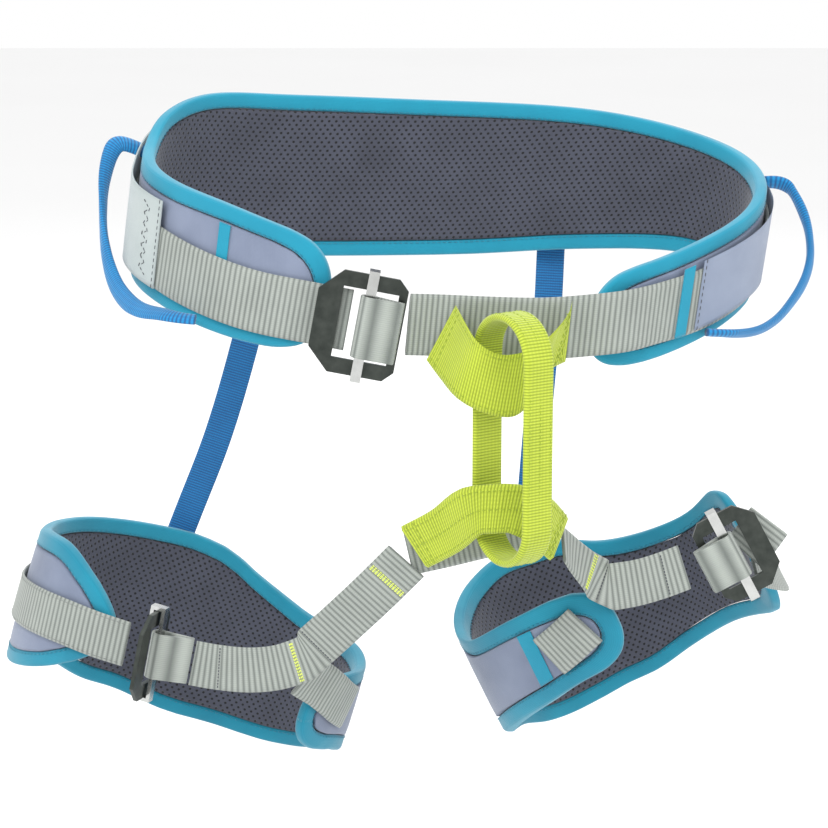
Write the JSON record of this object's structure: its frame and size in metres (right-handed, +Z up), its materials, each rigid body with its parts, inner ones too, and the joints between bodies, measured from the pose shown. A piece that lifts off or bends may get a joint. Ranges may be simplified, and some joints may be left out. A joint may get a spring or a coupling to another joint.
{
  "type": "climbing harness",
  "caption": "Sit harness for climbing: padded waist belt with buckle, gear loops, tie-in points, belay loop and two adjustable padded leg loops hung on elastic risers.",
  "frame": {"origin": "centre of the waist opening", "axes": "+X to the wearer's left along the waist's long axis, +Y to the wearer's back, +Z up"},
  "size_m": [0.5027, 0.2643, 0.4283],
  "materials": {
    "lining_mesh": "matt spacer mesh with round pores",
    "foam": "closed-cell foam, hidden",
    "shell_fabric": "matt woven nylon",
    "panel_fabric": "smooth laminated nylon",
    "teal_binding": "soft knitted binding tape",
    "blue_tape": "soft elastic tape",
    "lime_webbing": "fine ribbed webbing with sewn rows",
    "grey_webbing": "ribbed polyester webbing",
    "buckle_frame": "dark satin anodised plate",
    "buckle_bar": "polished steel"
  },
  "bodies": {
    "waist_belt": {"waist_lining": "lining_mesh", "waist_foam": "foam", "waist_shell": "shell_fabric", "waist_binding": "teal_binding", "waist_webbing": "grey_webbing", "waist_back_cover": "shell_fabric", "hip_panel_left": "panel_fabric", "hip_cover_right": "shell_fabric", "waist_keeper_left": "teal_binding", "waist_keeper_right": "teal_binding", "waist_buckle_fold": "grey_webbing", "upper_tie_in_loop": "lime_webbing", "riser_left": "blue_tape", "riser_right": "blue_tape"},
    "waist_buckle": {"waist_buckle_frame": "buckle_frame", "waist_buckle_bar": "buckle_bar"},
    "gear_loop_left": {"gear_loop_left": "blue_tape"},
    "gear_loop_right": {"gear_loop_right": "blue_tape"},
    "belay_loop": {"belay_loop": "lime_webbing"},
    "leg_bridge": {"lower_tie_in_sleeve": "lime_webbing", "leg_bridge_webbing": "grey_webbing", "rise_strap_left": "grey_webbing", "rise_strap_right": "grey_webbing"},
    "leg_loop_left": {"leg_left_lining": "lining_mesh", "leg_left_foam": "foam", "leg_left_shell": "shell_fabric", "leg_left_binding": "teal_binding", "leg_left_front_strap": "grey_webbing", "leg_left_outer_strap": "grey_webbing", "leg_left_tongue_strap": "grey_webbing", "leg_left_buckle_fold": "grey_webbing"},
    "leg_buckle_left": {"leg_left_buckle_frame": "buckle_frame", "leg_left_buckle_bar": "buckle_bar"},
    "leg_loop_right": {"leg_right_lining": "lining_mesh", "leg_right_foam": "foam", "leg_right_shell": "shell_fabric", "leg_right_binding": "teal_binding", "leg_right_front_strap": "grey_webbing", "leg_right_outer_strap": "grey_webbing", "leg_right_strap_tail": "grey_webbing", "leg_right_tongue_strap": "grey_webbing", "leg_right_keeper": "teal_binding", "leg_right_buckle_fold": "grey_webbing"},
    "leg_buckle_right": {"leg_right_buckle_frame": "buckle_frame", "leg_right_buckle_bar": "buckle_bar"}
  },
  "joints": [
    {"name": "waist_buckle_tilt", "type": "hinge", "parent": "waist_belt", "child": "waist_buckle", "pos_m": [-0.0545, -0.1066, -0.0315], "axis": [0.1867, 0, 0.9824], "range_deg": [0, 45]},
    {"name": "gear_loop_left_flip", "type": "hinge", "parent": "waist_belt", "child": "gear_loop_left", "pos_m": [-0.198, 0.028, 0.052], "axis": [0.2628, -0.7953, -0.5463], "range_deg": [-30, 8]},
    {"name": "gear_loop_right_flip", "type": "hinge", "parent": "waist_belt", "child": "gear_loop_right", "pos_m": [0.194, 0.0218, 0.034], "axis": [-0.3316, -0.7498, -0.5725], "range_deg": [-30, 30]},
    {"name": "belay_loop_swing", "type": "hinge", "parent": "waist_belt", "child": "belay_loop", "pos_m": [0.029, -0.134, -0.052], "axis": [1, 0, 0], "range_deg": [-12, 20], "stiffness_Nm_per_rad": 10.49, "springref_deg": 1.54, "deforming": ["riser_left", "riser_right"]},
    {"name": "leg_bridge_swing", "type": "hinge", "parent": "belay_loop", "child": "leg_bridge", "pos_m": [0.029, -0.134, -0.135], "axis": [1, 0, 0], "range_deg": [-20, 6], "stiffness_Nm_per_rad": 9.77, "springref_deg": 1.66},
    {"name": "leg_left_swing", "type": "hinge", "parent": "leg_bridge", "child": "leg_loop_left", "pos_m": [-0.088, -0.089, -0.232], "axis": [1, 0, 0], "range_deg": [-45, 20], "stiffness_Nm_per_rad": 2.87, "springref_deg": 1.9, "deforming": ["rise_strap_left"]},
    {"name": "leg_right_swing", "type": "hinge", "parent": "leg_bridge", "child": "leg_loop_right", "pos_m": [0.086, -0.09, -0.188], "axis": [1, 0, 0], "range_deg": [-45, 20], "stiffness_Nm_per_rad": 2.9, "springref_deg": 1.7, "deforming": ["rise_strap_right"]},
    {"name": "leg_left_buckle_tilt", "type": "hinge", "parent": "leg_loop_left", "child": "leg_buckle_left", "pos_m": [-0.17864, -0.09412, -0.23167], "axis": [0.1961, 0, 0.9806], "range_deg": [-50, 10]},
    {"name": "leg_right_buckle_tilt", "type": "hinge", "parent": "leg_loop_right", "child": "leg_buckle_right", "pos_m": [0.16216, -0.0856, -0.17342], "axis": [0.4711, 0, -0.8821], "range_deg": [0, 45]}
  ]
}
